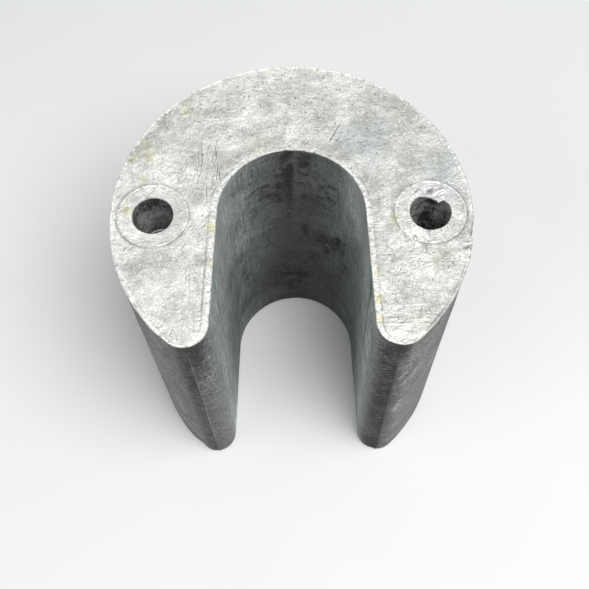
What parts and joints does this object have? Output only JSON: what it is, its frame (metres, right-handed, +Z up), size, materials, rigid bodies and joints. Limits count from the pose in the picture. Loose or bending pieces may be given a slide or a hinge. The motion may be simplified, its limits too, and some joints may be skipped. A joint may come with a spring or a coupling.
{
  "type": "horseshoe anode",
  "caption": "Round cast sacrificial anode with a slot right through it to the front, so it straddles a shaft or strut, and steel sleeves cast in for its bolts.",
  "frame": {"origin": "on the axis of the round outside, midway between the bolt holes, in the plane of the bottom face", "axes": "+Z up along the axis of the round outside, from the bottom face to the linished top face; the mouth of the slot faces -Y; +X runs from the left bolt hole to the right one"},
  "size_m": [0.08, 0.0714, 0.082],
  "materials": {
    "cast_zinc": "as-cast zinc with a dull grey skin, linished bright on the top face",
    "sleeve_steel": "plain steel tube, its end linished flush with the casting"
  },
  "bodies": {
    "root": {"anode_body": "cast_zinc", "left_sleeve": "sleeve_steel", "right_sleeve": "sleeve_steel"}
  },
  "joints": []
}
